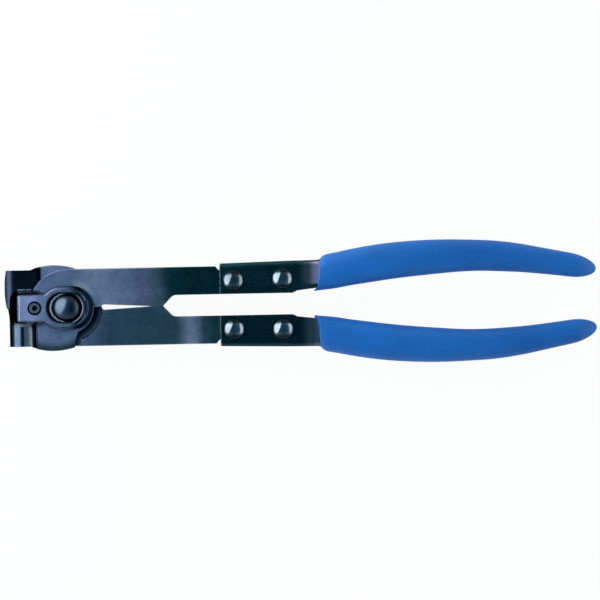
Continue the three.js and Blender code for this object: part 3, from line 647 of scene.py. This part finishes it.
def weigh_normals(piece):
    weights = piece.modifiers.new("normals", "WEIGHTED_NORMAL")
    weights.mode = "FACE_AREA"
    weights.weight = NORMAL_WEIGHT
    weights.keep_sharp = True


def refined(node, name, material, width, edges=None):
    """A CAD node with its edges broken, in a finish of their own if given, and its shading smoothed."""
    piece = piece_from(shell_of(node), name, node, material)
    bevel = piece.modifiers.new("edges", "BEVEL")
    bevel.width = width
    bevel.segments = EDGE_SEGMENTS
    bevel.limit_method = "ANGLE"
    bevel.angle_limit = CREASE_ANGLE
    bevel.use_clamp_overlap = True
    bevel.miter_outer = "MITER_ARC"
    if edges:
        piece.data.materials.append(edges)
        bevel.material = 1
    weigh_normals(piece)


def quarter(x, z, radius, start):
    """Points of a quarter round in a profile, clockwise from an angle in degrees."""
    angles = [math.radians(start - 90 * i / QUARTER_STEPS) for i in range(QUARTER_STEPS + 1)]
    return [(x + radius * math.cos(a), z + radius * math.sin(a)) for a in angles]


def cap(radius, low, height, rim):
    """Profile of a domed head from its underside's edge up to the axis."""
    rise = height - rim
    sphere = (radius * radius + rise * rise) / (2 * rise)
    edge = math.asin(radius / sphere)
    turns = [edge * (1 - i / DOME_STEPS) for i in range(DOME_STEPS + 1)]
    dome = [(sphere * math.sin(t), low + height - sphere * (1 - math.cos(t))) for t in turns]
    return [(radius, low), (radius, low + rim / 2), *dome]


def lathe(profile, centre):
    """A profile of (radius, height) turned about an upright axis. Its ends meet or lie on the axis."""
    shell = bmesh.new()
    rings = []
    for radius, height in profile:
        if radius < WELD:
            rings.append([shell.verts.new((centre[0], centre[1], height))] * TURNED_STEPS)
            continue
        ring = []
        for i in range(TURNED_STEPS):
            turn = 2 * math.pi * i / TURNED_STEPS
            at = (centre[0] + radius * math.cos(turn), centre[1] + radius * math.sin(turn), height)
            ring.append(shell.verts.new(at))
        rings.append(ring)
    if profile[0][0] >= WELD:
        rings.append(rings[0])
    for low, high in zip(rings, rings[1:]):
        for i in range(TURNED_STEPS):
            j = (i + 1) % TURNED_STEPS
            corners = [low[i], low[j], high[j], high[i]]
            kept = [v for k, v in enumerate(corners) if v is not corners[k - 1]]
            if len(kept) > 2:
                shell.faces.new(kept)
    return shell


def turned(node, name, material, profile, centre):
    weigh_normals(piece_from(lathe(profile, centre), name, node, material))


def make_pin(material):
    low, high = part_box("pivot_pin")
    tail = (high.x - low.x) / 2
    dome = high.z - DOME_HEIGHT
    profile = [
        (0, low.z),
        (tail - TAIL_BEVEL, low.z),
        *reversed(quarter(tail - TAIL_BEVEL, low.z + TAIL_BEVEL, TAIL_BEVEL, 0)),
        (tail, low.z + TAIL_HEIGHT),
        (PIN_RADIUS, low.z + TAIL_HEIGHT),
        (PIN_RADIUS, dome),
        *cap(DOME_RADIUS, dome, DOME_HEIGHT, DOME_RIM),
    ]
    turned("pivot_pin", "pivot_pin_steel", material, profile, (0, 0))


def make_washer(material):
    low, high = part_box("pivot_washer")
    rim = (high.y - low.y) / 2
    centre = ((low.x + high.x) / 2, 0)
    profile = [
        (WASHER_BORE, low.z),
        (rim - WASHER_EDGE, low.z),
        (rim, low.z + WASHER_EDGE),
        *reversed(quarter(rim - WASHER_EDGE, high.z - WASHER_EDGE, WASHER_EDGE, 90)),
        (WASHER_BORE + WASHER_EDGE, high.z),
        (WASHER_BORE, high.z - WASHER_EDGE),
    ]
    turned("pivot_washer", "pivot_washer_steel", material, profile, centre)


def make_rivet(node, material):
    low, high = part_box(node)
    head = (high.x - low.x) / 2
    centre = ((low.x + high.x) / 2, (low.y + high.y) / 2)
    under = high.z - RIVET_HEAD_HEIGHT
    top = low.z + RIVET_TAIL_HEIGHT
    edge = RIVET_TAIL_RADIUS - RIVET_TAIL_BEVEL
    profile = [
        (0, low.z),
        *reversed(quarter(edge, low.z + RIVET_TAIL_BEVEL, RIVET_TAIL_BEVEL, 0)),
        (RIVET_TAIL_RADIUS, top),
        (RIVET_RADIUS, top),
        (RIVET_RADIUS, under),
        *cap(head, under, RIVET_HEAD_HEIGHT, RIVET_HEAD_RIM),
    ]
    turned(node, f"{node}_steel", material, profile, centre)


def walls(tree, x, middle, y):
    """Distances from a point inside the handle to the grip's room and skin, towards +Y, -Y and +Z."""
    found = []
    for way in (Vector((0, 1, 0)), Vector((0, -1, 0)), Vector((0, 0, 1))):
        start = Vector((x, y, middle))
        hits = []
        travelled = 0.0
        while len(hits) < 2:
            point, _, _, distance = tree.ray_cast(start, way)
            if point is None:
                break
            travelled += distance
            hits.append(travelled)
            start = point + way * RAY_STEP
            travelled += RAY_STEP
        found.append(hits)
    return found


def smoothed(rows):
    """Rows of numbers, each eased towards its neighbours, ends kept."""
    for _ in range(GRIP_SMOOTHING):
        inner = [
            [(a + 2 * b + c) / 4 for a, b, c in zip(before, here, after)]
            for before, here, after in zip(rows, rows[1:], rows[2:])
        ]
        rows = [rows[0], *inner, rows[-1]]
    return rows


def skin_ring(x, y, half, height, middle, lean):
    """Points of the grip's outer section at x. lean turns a side, -1 to 1, into a move along X."""
    ring = []
    for i in range(GRIP_STEPS):
        turn = 2 * math.pi * i / GRIP_STEPS
        c, s = math.cos(turn), math.sin(turn)
        u = math.copysign(abs(c) ** (2 / GRIP_SQUARENESS), c)
        v = math.copysign(abs(s) ** (2 / GRIP_SQUARENESS), s)
        ring.append(Vector((x + lean(u), y + u * half, middle + v * height)))
    return ring


def mouth_lean(u):
    """How far the mouth's edge stands back along X, from u = -1 on the inner side to 1 on the outer."""
    return MOUTH_SLANT * u - MOUTH_LIP * max(0, -u) ** MOUTH_LIP_SHARPNESS


def room_ring(x, inner, outer, height, middle, out, lean):
    """Points of the room for the channel at x.

    out is 1 where the outer side faces +Y and -1 where it faces -Y. lean turns a point's distance from the
    centre line into a move along X.
    """
    ring = []
    corners = [(outer, 1, 0, 0), (inner, 1, 1, 90), (inner, -1, 1, 180), (outer, -1, 0, 270)]
    share = GRIP_STEPS // 4
    for side, up, which, start in corners:
        radius = ROOM_ROUNDS[which]
        across = side - radius if which == 0 else side + radius
        for i in range(share):
            turn = math.radians(start + 90 * i / (share - 1))
            y = across + radius * math.cos(turn)
            z = middle + up * (height - radius) + radius * math.sin(turn)
            ring.append(Vector((x + lean(y), out * y, z)))
    return ring


def bridge(shell, first, second):
    count = len(first)
    for i in range(count):
        j = (i + 1) % count
        shell.faces.new((first[i], first[j], second[j], second[i]))


def grip_rows(node, out):
    """A CAD grip measured along X.

    Gives rows of x, middle line, half width and half height of its skin, rows of x, inner side, outer side
    and half height of its room, its middle height, and the places of its mouth and tip.
    """
    low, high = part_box(node)
    middle = (low.z + high.z) / 2
    shell = bmesh.new()
    shell.from_mesh(frame["nodes"][node].data)
    tree = BVHTree.FromBMesh(shell)
    shell.free()
    start, end = low.x + MOUTH_SLANT + MOUTH_LIP, high.x - GRIP_CAP
    rows = []
    rooms = []
    for i in range(GRIP_STATIONS + 1):
        x = start + (end - start) * i / GRIP_STATIONS
        top = tree.ray_cast(Vector((x, out * RAY_FAR, middle)), Vector((0, -out, 0)))[0]
        foot = tree.ray_cast(Vector((x, 0, middle)), Vector((0, out, 0)))[0]
        y = (top.y + foot.y) / 2
        crest = tree.ray_cast(Vector((x, y, RAY_FAR)), Vector((0, 0, -1)))[0]
        rows.append([x, y, abs(top.y - foot.y) / 2, crest.z - middle])
        hits = walls(tree, x, middle, y)
        if all(len(h) == 2 for h in hits):
            plus, minus, up = (h[0] for h in hits)
            inner, outer = (minus, plus) if out > 0 else (plus, minus)
            rooms.append([x, y * out - inner, y * out + outer, up])
    return smoothed(rows), rooms, middle, start, high.x


def make_grip(node, name, material, out):
    """A grip as one smooth sleeve over the channel's room, closed at its rounded tip."""
    rows, rooms, middle, mouth, tip = grip_rows(node, out)
    shell = bmesh.new()

    def laid(points):
        return [shell.verts.new(p) for p in points]

    def lean(x):
        share = max(0.0, 1 - (x - mouth) / MOUTH_FADE)
        return lambda u: share * mouth_lean(u)

    def outside(row, shrink=0.0):
        x, y, half, height = row
        return skin_ring(x, y, half - shrink, height - shrink, middle, lambda u: lean(x)(u * out))

    def inside(row, skin):
        by_side = lean(row[0])
        return room_ring(*row, middle, out, lambda y: by_side((y - abs(skin[1])) / skin[2]))

    rings = [laid(inside(row, skin)) for row, skin in reversed(list(zip(rooms, rows)))]
    shell.faces.new(rings[0])
    first, before, last = rows[0], rows[-1 - GRIP_CAP_LEAD], rows[-1]
    for degrees in MOUTH_TURNS:
        turn = math.radians(degrees)
        row = (first[0] + MOUTH_ROUND * (1 - math.cos(turn)), *first[1:])
        rings.append(laid(outside(row, MOUTH_ROUND * (1 - math.sin(turn)))))
    for row in rows[1:]:
        rings.append(laid(outside(row)))
    slopes = [(b - a) / (last[0] - before[0]) for a, b in zip(before[1:], last[1:])]
    for i in range(1, GRIP_CAP_STEPS):
        turn = math.pi / 2 * i / GRIP_CAP_STEPS
        run = (tip - last[0]) * math.sin(turn)
        y, half, height = (value + slope * run for value, slope in zip(last[1:], slopes))
        rings.append(laid(outside((last[0] + run, y, half * math.cos(turn), height * math.cos(turn)))))
    for a, b in zip(rings, rings[1:]):
        bridge(shell, a, b)
    shell.faces.new(rings[-1])
    weigh_normals(piece_from(shell, name, node, material))


def make_floor():
    mesh = bpy.data.meshes.new("floor")
    half = FLOOR_SIDE / 2
    low = CAD_BOX[0].z - FLOOR_GAP
    corners = [(-half, -half, low), (half, -half, low), (half, half, low), (-half, half, low)]
    mesh.from_pydata(corners, [], [(0, 1, 2, 3)])
    floor = placed("floor", mesh)
    material, tree, _ = new_material("floor_white")
    tree.nodes.clear()
    paper = add(tree, "BsdfDiffuse", {"Color": PAPER})
    white = add(tree, "Emission", {"Color": WHITE, "Strength": 1.0})
    eye = add(tree, "LightPath")
    share = sum_of(tree, eye.outputs["Is Camera Ray"], LIFT, "MULTIPLY")
    both = add(tree, "MixShader", {0: share, 1: paper.outputs[0], 2: white.outputs[0]})
    add(tree, "OutputMaterial", {"Surface": both.outputs[0]})
    mesh.materials.append(material)


def softbox(name, place, size, power):
    """An oval lamp that faces straight down."""
    lamp = bpy.data.lights.new(name, "AREA")
    lamp.shape = "ELLIPSE"
    lamp.size, lamp.size_y = size
    lamp.energy = power
    placed(name, lamp).location = place


def make_light():
    """The lamps, and a sky that the camera sees as white."""
    for lamp in LAMPS:
        softbox(*lamp)
    world = bpy.data.worlds.new("studio")
    bpy.context.scene.world = world
    world.use_nodes = True
    tree = world.node_tree
    direction = add(tree, "TexCoord")
    axes = add(tree, "SeparateXYZ", {"Vector": direction.outputs["Generated"]})
    tint = ramp(tree, axes.outputs["Z"], SKY)
    eye = add(tree, "LightPath")
    seen = mixed(tree, eye.outputs["Is Camera Ray"], tint, WHITE)
    tree.links.new(seen, tree.nodes["Background"].inputs["Color"])


def make_camera():
    camera = bpy.data.cameras.new("camera")
    camera.sensor_width = SENSOR
    camera.lens = SENSOR * VIEW_HEIGHT / VIEW_WIDTH
    camera.clip_end = CLIP_END
    holder = placed("camera", camera)
    middle = (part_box("front_handle_channel")[0].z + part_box("front_handle_channel")[1].z) / 2
    holder.location = (*VIEW_CENTRE, middle + VIEW_HEIGHT)
    holder.rotation_euler = (0, 0, VIEW_TURN)
    bpy.context.scene.camera = holder


front_blue = blued_steel("blued_front", FRONT_TINTS_AND_SHEEN, FRONT_GLOSSES, FRONT_ZONES)
rear_blue = blued_steel("blued_rear", REAR_TINTS_AND_SHEEN, REAR_GLOSSES, REAR_ZONES, REAR_DRIFT)
bar_blue = blued_steel("blued_bar", BAR_TINTS_AND_SHEEN, BAR_GLOSSES, BAR_ZONES, BAR_DRIFT)
# painted shade on the bar's broken edges
bar_edge_shade = blued_steel("blued_bar_edge_shade", BAR_EDGE_SHADE_TINTS, BAR_GLOSSES, [BAR_POCKET_SHADE])
sheet_black = black_steel(
    "channel_black",
    CHANNEL_TINT,
    CHANNEL_ROUGH,
    drawn=CHANNEL_DRAWN,
    zones=CHANNEL_ZONES,
    satin=CHANNEL_SATIN,
)
dome_black = black_steel("dome_black", DOME_TINT, DOME_ROUGH, zones=DOME_SHADE_ZONES, rim_shade=DOME_RIM_SHADE)
rivet_black = black_steel("rivet_black", RIVET_TINT, RIVET_ROUGH, rim_shade=RIVET_RIM_SHADE)
screw_black = black_steel("screw_black", SCREW_TINT, SCREW_ROUGH, zones=SCREW_SOCKET_SHADE)
washer_steel = bright_steel("washer_steel")
vinyl = blue_vinyl("blue_vinyl")

refined("front_arm", "front_arm_steel", front_blue, STEEL_ROUND)
refined("rear_arm", "rear_arm_steel", rear_blue, STEEL_ROUND)
refined("centre_bar", "centre_bar_steel", bar_blue, STEEL_ROUND, bar_edge_shade)
refined("set_screw", "set_screw_steel", screw_black, SHEET_ROUND)
make_pin(dome_black)
make_washer(washer_steel)
for side, out in (("front", 1), ("rear", -1)):
    refined(f"{side}_handle_channel", f"{side}_channel_sheet", sheet_black, SHEET_ROUND)
    make_grip(f"{side}_grip", f"{side}_grip_vinyl", vinyl, out)
    for i in (1, 2):
        make_rivet(f"{side}_rivet_{i}", rivet_black)

make_floor()
make_light()
make_camera()
bpy.context.scene.view_settings.view_transform = "Standard"
